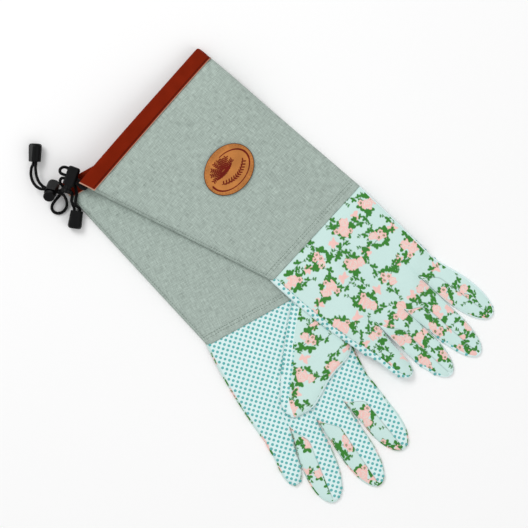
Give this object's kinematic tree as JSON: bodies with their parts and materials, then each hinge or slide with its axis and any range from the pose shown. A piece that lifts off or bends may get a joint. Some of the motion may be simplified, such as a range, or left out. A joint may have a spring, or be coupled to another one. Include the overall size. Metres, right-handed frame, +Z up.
{
  "type": "gardening gloves",
  "caption": "Pair of gauntlet gardening gloves: floral cotton backs, grip-dot palms, long canvas cuffs with a drawcord and spring cord lock at the mouth.",
  "frame": {"origin": "on the surface the gloves lie on, under the centre of the box round both gloves, free cords left out", "axes": "+Z up, +Y from the fingertips towards the cuffs' mouths, +X to the right with the fingertips nearest the viewer"},
  "size_m": [0.4647, 0.4554, 0.029],
  "materials": {
    "canvas": "matt sage canvas, plain weave",
    "band": "matt rust coloured coated cotton band",
    "floral": "matt cotton printed with small pink flowers and green leaves",
    "dotted": "matt cotton with rows of raised teal grip dots",
    "cord": "black braided elastic cord",
    "hardware": "black moulded plastic, satin",
    "spring": "bright spring wire",
    "badge": "tan leather with a burnt-in border and sprig"
  },
  "bodies": {
    "left_glove": {"left_cuff_back": "canvas", "left_cuff_palm": "canvas", "left_cuff_binding": "band", "left_back_panel": "floral", "left_palm_panel": "dotted", "left_fourchette_index": "floral", "left_fourchette_middle": "floral", "left_fourchette_ring": "floral", "left_thumb_back": "floral", "left_thumb_palm": "dotted", "left_drawcord": "cord", "left_cord_strand_a": "cord", "left_cord_strand_b": "cord", "left_lock_barrel": "hardware", "left_lock_spring": "spring", "left_cord_end": "hardware"},
    "left_plunger": {"left_lock_plunger": "hardware"},
    "right_glove": {"right_cuff_back": "canvas", "right_cuff_palm": "canvas", "right_cuff_binding": "band", "right_back_panel": "floral", "right_palm_panel": "dotted", "right_fourchette_index": "floral", "right_fourchette_middle": "floral", "right_fourchette_ring": "floral", "right_thumb_back": "floral", "right_thumb_palm": "dotted", "right_drawcord": "cord", "right_cord_strand_a": "cord", "right_cord_strand_b": "cord", "right_lock_barrel": "hardware", "right_lock_spring": "spring", "right_cord_end": "hardware", "right_badge": "badge"},
    "right_plunger": {"right_lock_plunger": "hardware"}
  },
  "joints": [
    {"name": "right_glove_lift", "type": "slide", "parent": "left_glove", "child": "right_glove", "axis": [0, 0, 1], "range_m": [0, 0.12]},
    {"name": "left_lock_press", "type": "slide", "parent": "left_glove", "child": "left_plunger", "axis": [0.1147, 0.5174, -0.848], "range_m": [0, 0.0032], "stiffness_N_per_m": 400, "springref_m": -0.008, "deforming": ["left_lock_spring"]},
    {"name": "right_lock_press", "type": "slide", "parent": "right_glove", "child": "right_plunger", "axis": [0.3469, 0.9379, 0], "range_m": [0, 0.0032], "stiffness_N_per_m": 400, "springref_m": -0.008, "deforming": ["right_lock_spring"]}
  ]
}
